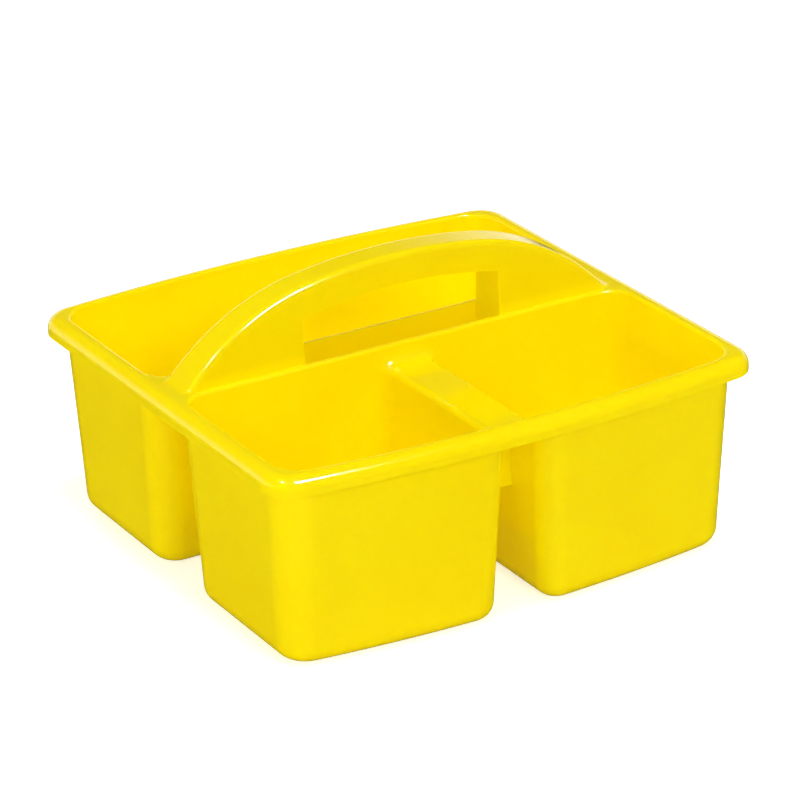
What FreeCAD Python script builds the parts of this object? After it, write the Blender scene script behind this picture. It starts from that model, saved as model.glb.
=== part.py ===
import FreeCAD, Part
import math
import os
import Sketcher

# Cleaning caddy: one wide rear well, two front wells, a rounded rim with a turned-down lip and
# a hollow arch handle. X runs to the right along the front, Y to the back, Z up. The origin is
# the centre of the footprint on the resting plane. Neighbouring pieces meet on shared faces.

os.makedirs("parts", exist_ok=True)
doc = FreeCAD.newDocument("Caddy")
Vector = FreeCAD.Vector
Constraint = Sketcher.Constraint

# Driving dimensions: alias, value. An outline has a half width in X, a half depth at mid width,
# the radius of its bowed front and back, and a corner radius.
DIMENSIONS = [
    # plan outline of the rim, and its section
    ("rim_half", 117.5), ("rim_mid", 115.3), ("rim_arc", 889.0), ("rim_corner", 14.6),
    ("rim_top", 91.4), ("rim_round", 5.6), ("lip_low", 83.1), ("edge_round", 1.35), ("skin", 2.5),
    ("lip_clear", 1.0),         # how far the hollow runs out below the lip
    # outer wall outline at the resting plane and at the rim top
    ("base_half", 108.0), ("base_mid", 105.4), ("base_arc", 665.0), ("base_corner", 14.2),
    ("top_half", 111.7), ("top_mid", 110.7), ("top_arc", 885.0), ("top_corner", 17.6),
    # channel under the handle and half gap between the front wells, to the walls' outer faces
    ("chan_front_base", 13.5), ("chan_front_top", 10.0),
    ("chan_rear_base", 14.4), ("chan_rear_top", 10.0),
    ("gap_base", 11.4), ("gap_top", 7.7),
    ("draft_run", 1.5),         # height of the drafted blocks, in rim heights
    # rounding of the wells' upright corners and feet
    ("chan_corner", 12.4), ("gap_corner", 10.5), ("mid_corner", 7.8),
    ("foot_round", 8.2), ("foot_inner", 5.6), ("foot_inner_front", 4.8),
    # divider and bridge between the front wells
    ("divider_top", 82.5), ("bridge_low", 80.0), ("divider_round", 3.0),
    ("divider_blend", 5.2), ("divider_front", 5.2), ("recess", 0.8),
    # cross rib in the gap
    ("web_face", 80.8), ("web_low", 47.9), ("web_skin", 2.2),
    # handle arch
    ("arch_top", 130.3), ("arch_crown", 258.0), ("arch_crown_half", 43.0),
    ("arch_shoulder", 104.0), ("arch_blend", 6.0), ("arch_half_top", 7.8),
    ("arch_half_low", 10.0), ("arch_round", 2.7), ("arch_low", 84.0),
    ("arch_hollow_drop", 10.0), ("arch_taper_drop", 12.0),      # both below arch_low
    # hand window and the walls beside it
    ("window_half", 48.6), ("window_low", 60.0), ("window_top", 117.0), ("window_arc", 220.0),
    ("jamb_low", 60.0),
    ("tall", 140.0),            # above everything
]
sheet = doc.addObject("Spreadsheet::Sheet", "dims")
for row, (alias, value) in enumerate(DIMENSIONS, start=1):
    sheet.set(f"A{row}", alias)
    sheet.set(f"B{row}", f"{value:g}")
    sheet.setAlias(f"B{row}", alias)
doc.recompute()

# Spans are (low, high) pairs of expressions. These reach past the product or pick a region of it.
FAR = "200"
NFAR = "-200"
WIDE = (NFAR, FAR)
HANDLE_Y = ("-60", "60")            # clears the handle, front to back
GAP_X = ("-40", "40")               # around the gap between the front wells
CHANNEL_Y = ("-40", "40")           # around the channel
FRONT_WALL_Y = (NFAR, "-60")
BRIDGE_Y = (NFAR, "20")
WEB_X = ("-30", "30")
UNDER_PLATE = "dims.rim_top - dims.skin"
ARCH_REACH = 100                    # the arch profile is extruded this far front and back
WINDOW_REACH = 60                   # the same for the window's bowed top

LEVEL_TOLERANCE = 0.02              # for edges that lie in a level plane
TOUCH_TOLERANCE = 0.01              # for points that lie on a face


def val(alias):
    return float(sheet.get(alias))


def bind(item, **expressions):
    """Drive properties by expressions; a double underscore stands for a dot."""
    for name, expression in expressions.items():
        item.setExpression(name.replace("__", "."), expression)


# ---------------------------------------------------------------- sketches
def arc(x, y, radius, start, end):
    return Part.ArcOfCircle(Part.Circle(Vector(x, y, 0), Vector(0, 0, 1), radius), start, end)


def line(x0, y0, x1, y1):
    return Part.LineSegment(Vector(x0, y0, 0), Vector(x1, y1, 0))


def drive(sketch, rows):
    """Add dimensional constraints from rows of (label, constraint, expression)."""
    for label, constraint, expression in rows:
        index = sketch.addConstraint(constraint)
        sketch.renameConstraint(index, label)
        sketch.setExpression("Constraints." + label, expression)


def closed_outline(name, stem, z, inset=None):
    """Plan outline from the dimensions named after stem, offset inwards by the alias inset.
    Straight sides, bowed front and back and four corner arcs, all tangent."""
    def size(part):
        return val(f"{stem}_{part}") - (val(inset) if inset else 0.0)

    def expr(part):
        return f"dims.{stem}_{part}" + (f" - dims.{inset}" if inset else "")

    half, mid, bow, corner = [size(part) for part in ("half", "mid", "arc", "corner")]
    bow_y = bow - mid               # the front arc is centred at +bow_y, the back arc at -bow_y
    corner_x = half - corner
    corner_y = bow_y - math.sqrt((bow - corner) ** 2 - corner_x ** 2)    # front, so negative
    turn = math.atan2(corner_y - bow_y, corner_x)    # tangent direction at the front right corner

    sketch = doc.addObject("Sketcher::SketchObject", name)
    sketch.addGeometry([
        line(half, corner_y, half, -corner_y),                                   # 0 right
        arc(corner_x, -corner_y, corner, 0.0, -turn),                            # 1 back right
        arc(0, -bow_y, bow, -turn, math.pi + turn),                              # 2 back
        arc(-corner_x, -corner_y, corner, math.pi + turn, math.pi),              # 3 back left
        line(-half, -corner_y, -half, corner_y),                                 # 4 left
        arc(-corner_x, corner_y, corner, math.pi, math.pi - turn),               # 5 front left
        arc(0, bow_y, bow, math.pi - turn, 2 * math.pi + turn),                  # 6 front
        arc(corner_x, corner_y, corner, turn, 0.0),                              # 7 front right
    ], False)
    sketch.addConstraint(
        [Constraint("Tangent", i, 2, (i + 1) % 8, 1) for i in range(8)]
        + [Constraint("Vertical", 0), Constraint("Vertical", 4),
           Constraint("PointOnObject", 2, 3, -2), Constraint("PointOnObject", 6, 3, -2)])
    centre = f"({expr('arc')}) - ({expr('mid')})"
    drive(sketch, [
        ("right", Constraint("DistanceX", -1, 1, 0, 1, half), expr("half")),
        ("left", Constraint("DistanceX", 4, 1, -1, 1, half), expr("half")),
        ("back_arc", Constraint("Radius", 2, bow), expr("arc")),
        ("front_arc", Constraint("Radius", 6, bow), expr("arc")),
        ("back_mid", Constraint("DistanceY", 2, 3, -1, 1, bow_y), centre),
        ("front_mid", Constraint("DistanceY", -1, 1, 6, 3, bow_y), centre),
        ("c_br", Constraint("Radius", 1, corner), expr("corner")),
        ("c_bl", Constraint("Radius", 3, corner), expr("corner")),
        ("c_fl", Constraint("Radius", 5, corner), expr("corner")),
        ("c_fr", Constraint("Radius", 7, corner), expr("corner")),
    ])
    sketch.setExpression("Placement.Base.z", z)
    return sketch


# ---------------------------------------------------------------- solids and booleans
def turned(y=0):
    """Placement that turns local Y up to Z and local Z to the front."""
    return FreeCAD.Placement(Vector(0, y, 0), FreeCAD.Rotation(Vector(1, 0, 0), 90))


def extrude(name, sketch, length, direction=(0, 0, 1)):
    solid = doc.addObject("Part::Extrusion", name)
    solid.Base = sketch
    solid.DirMode = "Custom"
    solid.Dir = Vector(*direction)
    solid.Solid = True
    solid.setExpression("LengthFwd", length)
    return solid


def tub_loft(name, tag, inset=None):
    """Whole tub from the resting plane to the rim top, its walls moved in by inset."""
    solid = doc.addObject("Part::Loft", name)
    solid.Sections = [closed_outline(f"sk_{tag}_base", "base", "0", inset),
                      closed_outline(f"sk_{tag}_top", "top", "dims.rim_top", inset)]
    solid.Solid = True
    solid.Ruled = True
    return solid


def box(name, z, x=WIDE, y=WIDE):
    solid = doc.addObject("Part::Box", name)
    bind(solid,
         Length=f"({x[1]}) - ({x[0]})", Width=f"({y[1]}) - ({y[0]})",
         Height=f"({z[1]}) - ({z[0]})",
         Placement__Base__x=x[0], Placement__Base__y=y[0], Placement__Base__z=z[0])
    return solid


def drafted(name, x=WIDE, y=WIDE):
    """Drafted block standing on z = 0. In a limit, {} becomes base at z = 0 and top at the rim
    top; the slopes carry on above the rim."""
    foot = [limit.format("base") for limit in (*x, *y)]
    top = [limit.format("top") for limit in (*x, *y)]
    end = [f"({a}) + dims.draft_run * (({b}) - ({a}))" for a, b in zip(foot, top)]
    solid = doc.addObject("Part::Wedge", name)
    bind(solid, Ymin="0", Ymax="dims.draft_run * dims.rim_top",
         Xmin=foot[0], Xmax=foot[1], Zmin=f"0 - ({foot[3]})", Zmax=f"0 - ({foot[2]})",
         X2min=end[0], X2max=end[1], Z2min=f"0 - ({end[3]})", Z2max=f"0 - ({end[2]})")
    solid.Placement = turned()
    return solid


def common(name, *shapes):
    solid = doc.addObject("Part::MultiCommon", name)
    solid.Shapes = list(shapes)
    return solid


def fuse(name, *shapes):
    solid = doc.addObject("Part::MultiFuse", name)
    solid.Shapes = list(shapes)
    solid.Refine = True
    return solid


def cut(name, base, tool):
    solid = doc.addObject("Part::Cut", name)
    solid.Base = base
    solid.Tool = tool
    solid.Refine = True
    return solid


def cut_each(names, base, tools):
    """Cut the tools away one after another; each step has its own name."""
    for name, tool in zip(names, tools):
        base = cut(name, base, tool)
    return base


def fillet(name, base, *picks):
    """Round the edges of base. Each pick is (test of an edge, alias or radius); the first test
    that accepts an edge sets its radius. Edges are picked once, on the shape as it is here."""
    doc.recompute()
    picks = [(test, val(size) if isinstance(size, str) else size) for test, size in picks]
    rows = []
    for number, edge in enumerate(base.Shape.Edges, start=1):
        for test, radius in picks:
            if test(edge):
                rows.append((number, radius, radius))
                break
    if not rows:
        raise RuntimeError("no edge picked for " + name)
    solid = doc.addObject("Part::Fillet", name)
    solid.Base = base
    solid.Edges = rows
    doc.recompute()
    if solid.Shape.isNull() or not solid.Shape.isValid() or "Invalid" in solid.State:
        raise RuntimeError(f"fillet failed: {name} {solid.State} ({len(rows)} edges)")
    return solid


# ---------------------------------------------------------------- edge tests
def points(edge):
    """First, last and middle point of an edge."""
    first, last = edge.FirstParameter, edge.LastParameter
    return edge.valueAt(first), edge.valueAt(last), edge.valueAt((first + last) / 2)


def level_at(z):
    def test(edge):
        return all(abs(point.z - z) < LEVEL_TOLERANCE for point in points(edge))
    return test


def upright(edge):
    first, last, _ = points(edge)
    return abs(first.z - last.z) > 20


def channel_end(edge):
    """Upright corners at the left and right ends of the channel."""
    middle = points(edge)[2]
    return upright(edge) and abs(middle.y) < 20 and abs(middle.x) > 90


def gap_corner(at_front):
    """Upright corners beside the gap, at the front wall or at the channel."""
    def test(edge):
        middle = points(edge)[2]
        return upright(edge) and abs(middle.x) < 16 and (middle.y < -60) == at_front
    return test


def divider_top_edge(edge):
    """Long front-to-back edges along the top of the divider."""
    first, last, _ = points(edge)
    top = val("divider_top")
    return (abs(first.z - top) < LEVEL_TOLERANCE and abs(last.z - top) < LEVEL_TOLERANCE
            and abs(first.y - last.y) > 100)


def divider_end(at_rear):
    """Edges where the divider runs into the channel wall or the front wall."""
    def test(edge):
        first, last, middle = ends = points(edge)
        if min(point.z for point in ends) < val("skin") - 0.01 or level_at(val("skin"))(edge):
            return False
        if abs(first.y - last.y) > 20 or max(abs(point.x) for point in ends) > 15:
            return False
        return middle.y > -20 if at_rear else middle.y < -90
    return test


def opening_edge(edge):
    """Edges on the rim's top plane that lie on the wells' skins, not on the rim's outline."""
    if not level_at(val("rim_top"))(edge):
        return False
    first, _, middle = points(edge)
    return any(well.Shape.distToShape(Part.Vertex(middle))[0] < TOUCH_TOLERANCE
               and well.Shape.distToShape(Part.Vertex(first))[0] < TOUCH_TOLERANCE
               for well in (rear_well, front_upper))


def arch_edge(edge):
    """Long edges of the arch's front and rear faces above the rim."""
    first, last, middle = points(edge)
    low = val("rim_top") - 0.05
    return (abs(middle.y) > 5 and first.z > low and last.z > low and middle.z > low + 0.05
            and abs(first.x - last.x) > 1.0)


# ---------------------------------------------------------------- tub and drafted cells
tub_outer = tub_loft("tub_outer", "out")
tub_inner = tub_loft("tub_inner", "in", "skin")
tub_recess = tub_loft("tub_recess", "rec", "recess")

# cells behind and in front of the channel, and left and right of the gap
cell_rear = drafted("cell_rear", y=("dims.chan_rear_{}", FAR))
cell_front = drafted("cell_front", y=(NFAR, "-dims.chan_front_{}"))
side_cells = {
    "left": drafted("cell_left", x=(NFAR, "-dims.gap_{}")),
    "right": drafted("cell_right", x=("dims.gap_{}", FAR)),
}
in_rear = drafted("in_rear", y=("dims.chan_rear_{} + dims.skin", FAR))
in_front = drafted("in_front", y=(NFAR, "-dims.chan_front_{} - dims.skin"))
gap_zone = drafted("gap_zone", x=("-dims.gap_{}", "dims.gap_{}"))
chan_zone = drafted("chan_zone", y=("-dims.chan_front_{}", "dims.chan_rear_{}"))

# ---------------------------------------------------------------- outer blocks of the wells
rear_raw = common("rear_block_raw", tub_outer, cell_rear)
rear_corners = fillet("rear_block_corners", rear_raw, (channel_end, "chan_corner"))
rear_block = fillet("rear_block", rear_corners, (level_at(0.0), "foot_round"))

front_raw = common("front_block_raw", tub_outer, cell_front)
front_corners = fillet("front_block_corners", front_raw, (channel_end, "chan_corner"))
front_blocks = {}
for side, cell in side_cells.items():
    raw = common(f"front_{side}_raw", front_corners, cell)
    corners = fillet(f"front_{side}_corners", raw,
                     (gap_corner(True), "gap_corner"), (gap_corner(False), "mid_corner"))
    front_blocks[side] = fillet(f"front_{side}_block", corners, (level_at(0.0), "foot_round"))
all_blocks = [rear_block, front_blocks["left"], front_blocks["right"]]

# ---------------------------------------------------------------- cavities of the wells
skin = val("skin")
inner_corner = val("chan_corner") - skin
above_floor = box("above_floor", ("dims.skin", "dims.tall"))

rear_well_raw = common("rear_well_raw", tub_inner, in_rear, above_floor)
rear_well_corners = fillet("rear_well_corners", rear_well_raw, (channel_end, inner_corner))
rear_well = fillet("rear_well", rear_well_corners, (level_at(skin), "foot_inner"))

front_well_raw = common("front_well_raw", tub_inner, in_front, above_floor)
front_opening = fillet("front_opening", front_well_raw, (channel_end, inner_corner))

# divider between the front wells: drafted sides, flat top with rounded edges; it blends into
# the channel wall and the front wall
core_wedge = drafted("core_wedge", x=("-dims.gap_{} - dims.skin", "dims.gap_{} + dims.skin"))
core_raw = common("core_raw", core_wedge, box("core_box", ("0", "dims.divider_top")))
core = fillet("core", core_raw, (divider_top_edge, "divider_round"))
cavity_raw = cut("front_cavity_raw", front_opening, core)
cavity_blends = fillet("front_cavity_blends", cavity_raw,
                       (divider_end(True), "divider_blend"),
                       (divider_end(False), "divider_front"))
front_cavity = fillet("front_cavity", cavity_blends, (level_at(skin), "foot_inner_front"))

# both front wells as one opening, above the divider
front_upper = common("front_upper", front_opening,
                     box("upper", ("dims.divider_top", "dims.tall")))

# ---------------------------------------------------------------- top plate and lip
slab_raw = extrude("slab_raw", closed_outline("sk_rim", "rim", "dims.lip_low"),
                   "dims.rim_top - dims.lip_low")
slab_round = fillet("slab_round", slab_raw, (level_at(val("rim_top")), "rim_round"))
slab_open = cut_each(("slab_rear_cut", "slab_front_cut"), slab_round, (rear_well, front_upper))
slab = fillet("slab", slab_open, (opening_edge, "edge_round"))

# hollow under the rim
hollow_sketch = closed_outline("sk_hollow", "rim", "dims.lip_low - dims.lip_clear", "skin")
hollow_raw = extrude("hollow_raw", hollow_sketch,
                     "dims.rim_top - dims.skin - dims.lip_low + dims.lip_clear")
hollow = fillet("hollow", hollow_raw,
                (level_at(val("rim_top") - skin), val("rim_round") - skin))
plate = cut("plate", slab, hollow)
plate_top = common("plate_top", plate, box("plate_band", (UNDER_PLATE, "dims.tall")))
plate_inside = common("plate_inside", plate_top, tub_inner)

# ---------------------------------------------------------------- rim
# ring outside the tub's inner skin, cleared of the wells' walls below the plate
ring_raw = cut("ring_a", plate, tub_inner)
under = box("under", ("0", UNDER_PLATE))
ring_clears = [common(f"ring_clear_{place}", block, under)
               for place, block in zip(("rear", "left", "right"), all_blocks)]
ring = cut_each(("ring_b", "ring_c", "ring"), ring_raw, ring_clears)

# short aprons that close the rim's underside over the gap and the channel ends
apron_band = box("apron_band", ("dims.bridge_low", UNDER_PLATE))
apron_skin = cut("apron_skin", tub_recess, tub_inner)
apron_raw = common("apron_raw", apron_skin, apron_band)
apron_keep = fuse("apron_keep",
                  box("apron_front_box", ("0", "dims.tall"), x=GAP_X, y=FRONT_WALL_Y),
                  box("apron_side_box", ("0", "dims.tall"), y=CHANNEL_Y))
apron_kept = common("apron_kept", apron_raw, apron_keep)
apron = cut_each(("apron_c1", "apron_c2", "apron_c3"), apron_kept, all_blocks)
rim = fuse("rim_body", ring, apron)

# ---------------------------------------------------------------- bins
# walls and floor up to the plate, then the tops of the walls beside the channel
below_plate = box("below_plate", ("-1", UNDER_PLATE))


def well_bin(stem, block, cavity, cells):
    shell = cut(f"{stem}_low", common(f"{stem}_low_raw", block, below_plate), cavity)
    return shell, common(f"{stem}_lip", plate_inside, *cells)


rear_bin = fuse("rear_bin_body", *well_bin("rear", rear_block, rear_well, [cell_rear]))
front_bins = {}
for side, cell in side_cells.items():
    halves = well_bin(f"front_{side}", front_blocks[side], front_cavity, [cell_front, cell])
    front_bins[side] = fuse(f"front_{side}_body", *halves)

# ---------------------------------------------------------------- bridge and web in the gap
# bridge between the front wells, and the piece of channel wall behind it
rec_front = drafted("rec_front", y=(NFAR, "-dims.chan_front_{} - dims.recess"))
mid_zone = box("mid_zone", ("dims.bridge_low", UNDER_PLATE), x=GAP_X, y=BRIDGE_Y)
bridge_raw = common("bridge_raw", tub_inner, rec_front, mid_zone)
bridge_low = cut_each(("bridge_a", "bridge_b", "bridge_c"), bridge_raw,
                      (front_cavity, front_blocks["left"], front_blocks["right"]))
bridge_top = common("bridge_top", plate_inside, cell_front, gap_zone)
bridge = fuse("bridge_body", bridge_low, bridge_top)

# cross rib in the gap
web_box = box("web_box", ("dims.web_low", "dims.bridge_low"), x=WEB_X,
              y=("-dims.web_face", "-dims.web_face + dims.web_skin"))
web = common("web_body", gap_zone, web_box)


# ---------------------------------------------------------------- handle arch
def arch_layout():
    """Crown centre height, half angle of the crown, and the right shoulder's centre."""
    crown, shoulder, half = val("arch_crown"), val("arch_shoulder"), val("arch_crown_half")
    crown_z = val("arch_top") - crown
    swing = math.asin(half / crown)
    shoulder_x = half - shoulder * math.sin(swing)
    shoulder_z = crown_z + (crown - shoulder) * math.cos(swing)
    return crown_z, swing, shoulder_x, shoulder_z


def arch_outline(name):
    """Outside of the arch in XZ: crown, shoulders, concave blends that run out on the rim's top
    plane, straight sides and a flat bottom."""
    crown_z, swing, shoulder_x, shoulder_z = arch_layout()
    crown, shoulder, blend = val("arch_crown"), val("arch_shoulder"), val("arch_blend")
    half, low, top = val("arch_crown_half"), val("arch_low"), val("rim_top")
    blend_z = top + blend
    blend_x = shoulder_x + math.sqrt((shoulder + blend) ** 2 - (blend_z - shoulder_z) ** 2)
    lean = math.atan2(blend_z - shoulder_z, blend_x - shoulder_x)    # shoulder to blend centre
    up = math.pi / 2

    sketch = doc.addObject("Sketcher::SketchObject", name)
    sketch.addGeometry([
        arc(0, crown_z, crown, up - swing, up + swing),                          # 0 crown
        arc(-shoulder_x, shoulder_z, shoulder, up + swing, math.pi - lean),      # 1 left shoulder
        arc(-blend_x, blend_z, blend, -up, -lean),                               # 2 left blend
        line(-blend_x, top, -blend_x, low),                                      # 3 left side
        line(-blend_x, low, blend_x, low),                                       # 4 bottom
        line(blend_x, low, blend_x, top),                                        # 5 right side
        arc(blend_x, blend_z, blend, math.pi + lean, 1.5 * math.pi),             # 6 right blend
        arc(shoulder_x, shoulder_z, shoulder, lean, up - swing),                 # 7 right shoulder
    ], False)
    sketch.addConstraint([
        Constraint("Tangent", 0, 2, 1, 1), Constraint("Tangent", 1, 2, 2, 2),
        Constraint("Coincident", 2, 1, 3, 1), Constraint("Coincident", 3, 2, 4, 1),
        Constraint("Coincident", 4, 2, 5, 1), Constraint("Coincident", 5, 2, 6, 2),
        Constraint("Tangent", 6, 1, 7, 1), Constraint("Tangent", 7, 2, 0, 1),
        Constraint("Vertical", 3), Constraint("Horizontal", 4), Constraint("Vertical", 5),
        Constraint("PointOnObject", 0, 3, -2),
        Constraint("Vertical", 2, 3, 3, 1), Constraint("Vertical", 6, 3, 5, 2),
    ])
    drive(sketch, [
        ("crown", Constraint("Radius", 0, crown), "dims.arch_crown"),
        ("crown_z", Constraint("DistanceY", 0, 3, -1, 1, -crown_z),
         "dims.arch_crown - dims.arch_top"),
        ("sh_l", Constraint("Radius", 1, shoulder), "dims.arch_shoulder"),
        ("sh_r", Constraint("Radius", 7, shoulder), "dims.arch_shoulder"),
        ("half_l", Constraint("DistanceX", 0, 2, -1, 1, half), "dims.arch_crown_half"),
        ("half_r", Constraint("DistanceX", -1, 1, 0, 1, half), "dims.arch_crown_half"),
        ("bl_l", Constraint("Radius", 2, blend), "dims.arch_blend"),
        ("bl_r", Constraint("Radius", 6, blend), "dims.arch_blend"),
        ("top_l", Constraint("DistanceY", -1, 1, 3, 1, top), "dims.rim_top"),
        ("top_r", Constraint("DistanceY", -1, 1, 5, 2, top), "dims.rim_top"),
        ("low", Constraint("DistanceY", -1, 1, 4, 1, low), "dims.arch_low"),
    ])
    sketch.Placement = turned(ARCH_REACH)
    return sketch


def arch_hollow_outline(name):
    """Hollow of the arch in XZ: crown and shoulders one skin further in, and a flat bottom."""
    crown_z, swing, shoulder_x, shoulder_z = arch_layout()
    crown, shoulder = val("arch_crown") - skin, val("arch_shoulder") - skin
    low = val("arch_low") - val("arch_hollow_drop")
    half = crown * math.sin(swing)
    foot_x = shoulder_x + math.sqrt(shoulder ** 2 - (low - shoulder_z) ** 2)
    foot_angle = math.atan2(low - shoulder_z, foot_x - shoulder_x)
    up = math.pi / 2

    sketch = doc.addObject("Sketcher::SketchObject", name)
    sketch.addGeometry([
        arc(0, crown_z, crown, up - swing, up + swing),                              # 0 crown
        arc(-shoulder_x, shoulder_z, shoulder, up + swing, math.pi - foot_angle),    # 1 left
        line(-foot_x, low, foot_x, low),                                             # 2 bottom
        arc(shoulder_x, shoulder_z, shoulder, foot_angle, up - swing),               # 3 right
    ], False)
    sketch.addConstraint([
        Constraint("Tangent", 0, 2, 1, 1), Constraint("Coincident", 1, 2, 2, 1),
        Constraint("Coincident", 2, 2, 3, 1), Constraint("Tangent", 3, 2, 0, 1),
        Constraint("Horizontal", 2), Constraint("PointOnObject", 0, 3, -2),
    ])
    half_expr = "dims.arch_crown_half * (dims.arch_crown - dims.skin) / dims.arch_crown"
    drive(sketch, [
        ("crown", Constraint("Radius", 0, crown), "dims.arch_crown - dims.skin"),
        ("crown_z", Constraint("DistanceY", 0, 3, -1, 1, -crown_z),
         "dims.arch_crown - dims.arch_top"),
        ("sh_l", Constraint("Radius", 1, shoulder), "dims.arch_shoulder - dims.skin"),
        ("sh_r", Constraint("Radius", 3, shoulder), "dims.arch_shoulder - dims.skin"),
        ("half_l", Constraint("DistanceX", 0, 2, -1, 1, half), half_expr),
        ("half_r", Constraint("DistanceX", -1, 1, 0, 1, half), half_expr),
        ("low", Constraint("DistanceY", -1, 1, 2, 1, low),
         "dims.arch_low - dims.arch_hollow_drop"),
    ])
    sketch.Placement = turned(ARCH_REACH)
    return sketch


def arch_taper(name, inset=""):
    """Block between the arch's front and rear faces, which lean together upwards. The slope is
    set between the rim top and the arch top and carried on both ways."""
    low, top = "dims.arch_half_low" + inset, "dims.arch_half_top" + inset
    slope = f"(({top}) - ({low})) / (dims.arch_top - dims.rim_top)"
    z_low, z_high = "dims.arch_low - dims.arch_taper_drop", "dims.tall"

    def half(z):
        return f"(({low}) + ({slope}) * (({z}) - dims.rim_top))"

    solid = doc.addObject("Part::Wedge", name)
    bind(solid, Ymin=z_low, Ymax=z_high, Xmin=NFAR, Xmax=FAR, X2min=NFAR, X2max=FAR,
         Zmin="0 - " + half(z_low), Zmax=half(z_low),
         Z2min="0 - " + half(z_high), Z2max=half(z_high))
    solid.Placement = turned()
    return solid


arch_length = str(2 * ARCH_REACH)
arch_long = extrude("arch_long", arch_outline("sk_arch"), arch_length, (0, -1, 0))
arch_in_long = extrude("arch_in_long", arch_hollow_outline("sk_arch_in"), arch_length,
                       (0, -1, 0))
arch_raw = common("arch_outer_raw", arch_long, arch_taper("arch_taper"))
arch_outer = fillet("arch_outer", arch_raw, (arch_edge, "arch_round"))
arch_hollow = common("arch_hollow", arch_in_long, arch_taper("arch_taper_in", " - dims.skin"))

# hand window with a bowed top
WINDOW_X = ("-dims.window_half", "dims.window_half")
window_box = box("win_box", ("dims.window_low", "dims.window_top"), x=WINDOW_X, y=HANDLE_Y)
window_bow = doc.addObject("Part::Cylinder", "win_cyl")
window_bow.Placement = turned(WINDOW_REACH)
bind(window_bow, Radius="dims.window_arc", Height=str(2 * WINDOW_REACH),
     Placement__Base__z="dims.window_top - dims.window_arc")
window = common("window", window_box, window_bow)

# ---------------------------------------------------------------- handle grip
ABOVE_RIM = ("dims.rim_top", "dims.tall")
arch_up = common("arch_up", arch_outer, box("above_rim", ABOVE_RIM, y=HANDLE_Y))
arch_shell = cut("arch_shell", arch_up, arch_hollow)
grip_zone = box("grip_zone", ABOVE_RIM, x=WINDOW_X, y=HANDLE_Y)
grip = cut("grip_body", common("grip_raw", arch_shell, grip_zone), window)

# ---------------------------------------------------------------- handle legs
# deck: the plate over the channel, open into the hollow arch
deck = cut("deck", common("deck_all", plate_inside, chan_zone), arch_hollow)


def handle_leg(side, leg_x, jamb_x):
    """Arch shell and deck beside the window, with the jamb wall that closes them off."""
    zone = box(f"leg_zone_{side}", ("0", "dims.tall"), x=leg_x, y=HANDLE_Y)
    shell = common(f"leg_shell_{side}", fuse(f"leg_sum_{side}", arch_shell, deck), zone)
    low_zone = box(f"jamb_zone_{side}", ("dims.jamb_low", "dims.rim_top"), x=jamb_x, y=HANDLE_Y)
    jamb_low = common(f"jamb_low_{side}", chan_zone, low_zone)
    up_zone = box(f"jamb_up_zone_{side}", ABOVE_RIM, x=jamb_x, y=HANDLE_Y)
    jamb_up = common(f"jamb_up_{side}", arch_outer, up_zone)
    return fuse(f"leg_body_{side}", shell, jamb_low, jamb_up)


leg_left = handle_leg("left", (NFAR, "-dims.window_half"),
                      ("-dims.window_half - dims.skin", "-dims.window_half"))
leg_right = handle_leg("right", ("dims.window_half", FAR),
                       ("dims.window_half", "dims.window_half + dims.skin"))

# ---------------------------------------------------------------- named pieces and export
NODES = {
    "rear_bin": rear_bin,
    "front_left_bin": front_bins["left"],
    "front_right_bin": front_bins["right"],
    "rim": rim,
    "handle_grip": grip,
    "handle_leg_left": leg_left,
    "handle_leg_right": leg_right,
    "divider_bridge": bridge,
    "front_web": web,
}
for name, piece in NODES.items():
    piece.Label = name
doc.recompute()

failed = [f"{item.Name} {item.State}" for item in doc.Objects
          if "Invalid" in item.State or "Error" in item.State]
if failed:
    raise RuntimeError("failed objects: " + "; ".join(failed))
for name, piece in NODES.items():
    shape = piece.Shape
    if shape.isNull() or not shape.isValid() or shape.Volume <= 0:
        raise RuntimeError("bad shape: " + name)
    shape.exportStep(f"parts/{name}.step")
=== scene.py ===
# A yellow moulded-plastic body with open wells and a hollow arch, on a pale paper floor.
# Metres, +Z up. It stands on z = 0 with its front towards -Y and its right towards +X.
# The shapes are the CAD pieces; this script adds the plastic, the floor, light and camera.
import math
import bpy
from mathutils import Matrix, Vector

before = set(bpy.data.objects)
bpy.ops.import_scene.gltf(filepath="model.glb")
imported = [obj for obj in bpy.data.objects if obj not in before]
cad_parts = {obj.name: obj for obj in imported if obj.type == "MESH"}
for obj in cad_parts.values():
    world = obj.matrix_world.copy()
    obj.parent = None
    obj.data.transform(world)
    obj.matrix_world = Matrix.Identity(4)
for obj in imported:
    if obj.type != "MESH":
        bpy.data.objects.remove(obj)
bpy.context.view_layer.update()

scene = bpy.context.scene

FLOOR_HALF_SIZE = 12.0
FLOOR_Z = -0.0002  # just under the body, so the two never share a plane

LIGHT_CENTRE = Vector((0.0, 0.0, 0.06))  # where every softbox is aimed
LIGHT_DISTANCE = 2.0

CAMERA_TARGET = Vector((0.002262, -0.001274, 0.059214))
CAMERA_DISTANCE = 1.668081
CAMERA_BACK = Vector((-0.45855, -0.79168, 0.40370))  # from the target to the camera
CAMERA_RIGHT = Vector((0.85928, -0.51085, -0.02577))
SENSOR_WIDTH_MM = 36.0
LENS_MM = 172.67517


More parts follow.
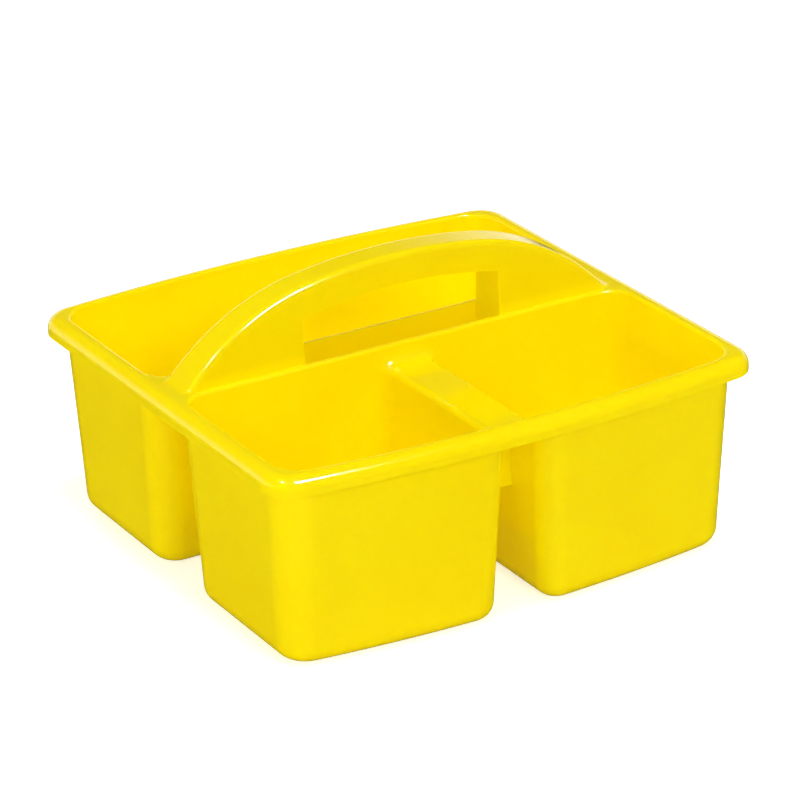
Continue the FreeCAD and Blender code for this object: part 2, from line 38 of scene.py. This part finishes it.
# ---------------------------------------------------------------- shader nodes
class Shader:
    """The node tree of a material or world, emptied and ready to be filled."""

    def __init__(self, owner):
        owner.use_nodes = True
        self.tree = owner.node_tree
        self.tree.nodes.clear()

    def node(self, kind, inputs=None, **properties):
        """Add a node and return its outputs. Each input is a value or a socket to link from."""
        node = self.tree.nodes.new("ShaderNode" + kind)
        for name, value in properties.items():
            setattr(node, name, value)
        for key, value in (inputs or {}).items():
            if isinstance(value, bpy.types.NodeSocket):
                self.tree.links.new(value, node.inputs[key])
            else:
                node.inputs[key].default_value = value
        return node.outputs

    def noise(self, coord, scale, detail=2.0, roughness=0.5):
        return self.node("TexNoise", {
            "Vector": coord, "Scale": scale, "Detail": detail, "Roughness": roughness})["Fac"]

    def remap(self, source, span, to=(0.0, 1.0), smooth=True):
        """Carry the range `span` of the source over to the range `to`."""
        return self.node("MapRange", {
            "Value": source,
            "From Min": span[0], "From Max": span[1],
            "To Min": to[0], "To Max": to[1],
        }, interpolation_type="SMOOTHSTEP" if smooth else "LINEAR")["Result"]

    def math(self, operation, first, second=None):
        inputs = {0: first}
        if second is not None:
            inputs[1] = second
        return self.node("Math", inputs, operation=operation)["Value"]

    def mix_colour(self, factor, a, b, blend="MIX"):
        return self.node("Mix", {"Factor": factor, "A": a, "B": b},
                         data_type="RGBA", blend_type=blend)["Result"]

    def mix_shader(self, factor, first, second):
        return self.node("MixShader", {0: factor, 1: first, 2: second})["Shader"]

    def bump(self, height, strength, distance, normal=None, invert=False):
        inputs = {"Height": height, "Strength": strength, "Distance": distance}
        if normal is not None:
            inputs["Normal"] = normal
        return self.node("Bump", inputs, invert=invert)["Normal"]

    def split(self, vector):
        """Outputs X, Y and Z of a vector."""
        return self.node("SeparateXYZ", {"Vector": vector})


# ---------------------------------------------------------------- plastic
def pigment(shader, coord):
    """Two close yellows in broad drifts, with a fine darker speckle."""
    drifts = shader.noise(coord, scale=14.0, detail=3.0, roughness=0.55)
    yellow = shader.mix_colour(
        factor=shader.remap(drifts, span=(0.35, 0.65)),
        a=(0.930, 0.722, 0.0004, 1.0),
        b=(0.955, 0.755, 0.0007, 1.0))
    speckle = shader.noise(coord, scale=900.0, roughness=0.6)
    speckled = shader.mix_colour(
        factor=shader.remap(speckle, span=(0.55, 0.75), to=(0.0, 0.5)),
        a=yellow,
        b=(0.965, 0.955, 0.90, 1.0),
        blend="MULTIPLY")
    # light bouncing between walls keeps more green, so the wells stay lemon and not orange
    return shader.mix_colour(
        factor=shader.node("LightPath")["Is Diffuse Ray"],
        a=speckled,
        b=(0.950, 0.850, 0.0020, 1.0))


def scuff_wear(shader, coord, geometry):
    """Fine scuffs, kept to scattered patches and to exposed edges."""
    edge = shader.remap(geometry["Pointiness"], span=(0.52, 0.60))
    scuffs = shader.remap(
        shader.noise(coord, scale=420.0, detail=5.0, roughness=0.7), span=(0.56, 0.70))
    patch = shader.remap(shader.noise(coord, scale=32.0), span=(0.50, 0.66))
    return shader.math("MAXIMUM",
                       shader.math("MULTIPLY", scuffs, patch),
                       shader.math("MULTIPLY", scuffs, edge))


def gloss_roughness(shader, coord, wear):
    """A smooth skin, rougher where worn, that drifts slowly over the body."""
    worn = shader.remap(wear, span=(0.0, 1.0), to=(0.115, 0.19))
    drift = shader.remap(shader.noise(coord, scale=7.0), span=(0.35, 0.65), to=(-0.015, 0.02))
    return shader.math("ADD", worn, drift)


def skin_normal(shader, coord, wear):
    """Soft waviness of the cooled walls, then orange peel, then sunken scuffs."""
    waves = shader.bump(
        shader.noise(coord, scale=22.0, detail=1.0, roughness=0.4),
        strength=0.06, distance=0.0010)
    peel = shader.bump(
        shader.noise(coord, scale=620.0), strength=0.025, distance=0.0001, normal=waves)
    return shader.bump(wear, strength=0.015, distance=0.0001, normal=peel, invert=True)


def painted_glow(shader, geometry):
    """Strength of a painted glow that stands in for light passing through the thin walls: even
    over the body, less on the arch's upright faces, and a painted pool of light on the back
    wall of the rear well.
    """
    full_painted_glow = 0.135
    position = shader.split(geometry["Position"])
    normal = shader.split(geometry["True Normal"])

    # painted shade: less glow in the upright faces of the hollow arch; the full glow times one
    # minus this shade
    at_arch = shader.remap(position["Z"], span=(0.092, 0.098))
    upright = shader.remap(
        shader.math("ABSOLUTE", normal["Y"]), span=(0.5, 0.9), to=(0.0, 0.55))
    arch_painted_shade = shader.math("MULTIPLY", at_arch, upright)
    even_painted_glow = shader.math("MULTIPLY", shader.math("SUBTRACT", arch_painted_shade, 1.0), -full_painted_glow)

    # painted light: more glow in the back wall of the rear well, growing to the right and
    # downwards
    back_wall = shader.math(
        "MULTIPLY",
        shader.remap(position["Y"], span=(0.092, 0.100)),
        shader.remap(normal["Y"], span=(-0.85, -0.40), to=(1.0, 0.0)))
    painted_pool_ramp = shader.math(
        "MULTIPLY",
        shader.remap(position["X"], span=(0.026, 0.100)),
        shader.remap(position["Z"], span=(0.045, 0.090), to=(0.23, 0.07)))
    return shader.math("ADD", even_painted_glow, shader.math("MULTIPLY", back_wall, painted_pool_ramp))


def yellow_plastic():
    """Glossy moulded polypropylene with some real subsurface scattering, plus a painted glow
    that stands in for light carried through its walls.
    """
    material = bpy.data.materials.new("yellow_moulded_plastic")
    shader = Shader(material)
    coord = shader.node("TexCoord")["Object"]
    geometry = shader.node("NewGeometry")
    wear = scuff_wear(shader, coord, geometry)
    surface = shader.node("BsdfPrincipled", {
        "Base Color": pigment(shader, coord),
        "Roughness": gloss_roughness(shader, coord, wear),
        "Normal": skin_normal(shader, coord, wear),
        "IOR": 1.49,
        "Specular IOR Level": 0.5,
        "Subsurface Weight": 0.45,
        "Subsurface Radius": (1.0, 0.8, 0.10),
        "Subsurface Scale": 0.0025,
        "Coat Weight": 0.30,
        "Coat Roughness": 0.05,
        # painted glow: emission that stands in for light carried through the thin walls
        "Emission Color": (0.94, 0.73, 0.0, 1.0),
        "Emission Strength": painted_glow(shader, geometry),
    })["BSDF"]
    shader.node("OutputMaterial", {"Surface": surface})
    return material


def cover_pieces(material):
    """Put one material on every slot of every CAD piece."""
    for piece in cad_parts.values():
        if not piece.material_slots:
            piece.data.materials.append(material)
        for slot in piece.material_slots:
            slot.link = "OBJECT"
            slot.material = material


# ---------------------------------------------------------------- floor
def floor_paper():
    """Paper that looks bright to the camera but throws less light back on the body."""
    material = bpy.data.materials.new("floor_paper")
    shader = Shader(material)
    rays = shader.node("LightPath")

    # camera rays: bright paper
    paper = shader.node("BsdfPrincipled", {
        "Base Color": (0.86, 0.86, 0.86, 1.0),
        "Roughness": 0.9,
        "Specular IOR Level": 0.1,
    })["BSDF"]
    lift = shader.node("Emission", {"Strength": 0.60})["Emission"]
    seen = shader.node("AddShader", {0: paper, 1: lift})["Shader"]

    # mirror-like rays: a bright sweep well behind the body, dim in front of it
    floor_y = shader.split(shader.node("NewGeometry")["Position"])["Y"]
    sweep = shader.node("Emission", {
        "Strength": shader.remap(floor_y, span=(0.25, 0.9), to=(0.02, 0.95))})["Emission"]

    # all other rays: plain diffuse
    matt = shader.node("BsdfDiffuse", {"Color": (0.88, 0.88, 0.88, 1.0)})["BSDF"]

    unseen = shader.mix_shader(rays["Is Glossy Ray"], matt, sweep)
    surface = shader.mix_shader(rays["Is Camera Ray"], unseen, seen)
    shader.node("OutputMaterial", {"Surface": surface})
    return material


def make_floor():
    mesh = bpy.data.meshes.new("floor")
    corners = [(x * FLOOR_HALF_SIZE, y * FLOOR_HALF_SIZE, FLOOR_Z)
               for x, y in ((-1, -1), (1, -1), (1, 1), (-1, 1))]
    mesh.from_pydata(corners, [], [(0, 1, 2, 3)])
    floor = bpy.data.objects.new("floor", mesh)
    scene.collection.objects.link(floor)
    mesh.materials.append(floor_paper())


# ---------------------------------------------------------------- light
def make_world():
    """Even white light; mirror-like rays see a low pale backdrop behind and a dim room."""
    world = bpy.data.worlds.new("studio")
    scene.world = world
    shader = Shader(world)
    even = shader.node("Background", {
        "Color": (1.0, 1.0, 1.0, 1.0), "Strength": 0.27})["Background"]

    direction = shader.split(shader.node("TexCoord")["Generated"])
    low = shader.remap(direction["Z"], span=(0.10, 0.42), to=(1.0, 0.0))
    behind = shader.remap(direction["Y"], span=(-0.2, 0.5))
    backdrop = shader.remap(shader.math("MULTIPLY", low, behind),
                            span=(0.0, 1.0), to=(0.04, 0.95), smooth=False)
    mirrored = shader.node("Background", {"Strength": backdrop})["Background"]

    is_glossy = shader.node("LightPath")["Is Glossy Ray"]
    shader.node("OutputWorld", {"Surface": shader.mix_shader(is_glossy, even, mirrored)})


# Softboxes: name, azimuth and elevation in degrees, width and height in metres, watts.
# Azimuth runs from the front (-Y), positive to the right.
# Keys draw the crisp white streaks on the rounded edges and are kept off the walls.
KEYS = (
    ("key_strip_gloss", 3, 50, 0.85, 0.34, 58.0),
    ("key_small_gloss", -68, 53, 0.24, 0.24, 9.0),
)
# Fills light the walls and leave no pale patches in the gloss.
FILLS = (
    ("key_strip", 10, 50, 1.20, 0.20, 3.0),
    ("fill_top", -20, 80, 0.50, 0.50, 14.5),
    ("fill_front", -4, 33, 0.26, 0.26, 6.6),
    ("fill_left", -50, 25, 0.36, 0.36, 3.0),
    ("fill_far_left", -90, 4, 0.60, 0.28, 9.4),
    ("fill_front_low", -10, 12, 0.50, 0.50, 2.2),
    ("fill_back", 172, 20, 0.60, 0.50, 9.0),
    ("fill_right", 86, 12, 0.50, 0.50, 6.5),
)


def softbox(name, azimuth, elevation, width, height, watts):
    """A rectangular light aimed at the body."""
    light = bpy.data.lights.new(name, "AREA")
    light.shape = "RECTANGLE"
    light.size = width
    light.size_y = height
    light.energy = watts
    box = bpy.data.objects.new(name, light)
    scene.collection.objects.link(box)
    turn, rise = math.radians(azimuth), math.radians(elevation)
    outward = Vector((math.sin(turn) * math.cos(rise),
                      -math.cos(turn) * math.cos(rise),
                      math.sin(rise)))
    place = LIGHT_CENTRE + outward * LIGHT_DISTANCE
    box.location = place
    box.rotation_euler = (LIGHT_CENTRE - place).to_track_quat("-Z", "Y").to_euler()
    return box


def make_lights():
    for key in KEYS:
        softbox(*key).visible_diffuse = False
    for fill in FILLS:
        softbox(*fill).visible_glossy = False


# ---------------------------------------------------------------- camera
def make_camera():
    """A long lens, looking down from the front left."""
    back = CAMERA_BACK.normalized()
    # square the right axis to the view axis
    right = (CAMERA_RIGHT - back * CAMERA_RIGHT.dot(back)).normalized()
    up = back.cross(right).normalized()
    lens = bpy.data.cameras.new("camera")
    camera = bpy.data.objects.new("camera", lens)
    scene.collection.objects.link(camera)
    turn = Matrix((right, up, back)).transposed().to_4x4()
    camera.matrix_world = Matrix.Translation(CAMERA_TARGET + back * CAMERA_DISTANCE) @ turn
    lens.sensor_fit = "HORIZONTAL"
    lens.sensor_width = SENSOR_WIDTH_MM
    lens.lens = LENS_MM
    lens.clip_start = 0.05
    lens.clip_end = 60.0
    scene.camera = camera


def set_view():
    """Colours go out as rendered, with no film look."""
    view = scene.view_settings
    view.view_transform = "Standard"
    view.look = "None"
    view.exposure = 0.0
    view.gamma = 1.0


cover_pieces(yellow_plastic())
make_floor()
make_world()
make_lights()
make_camera()
set_view()
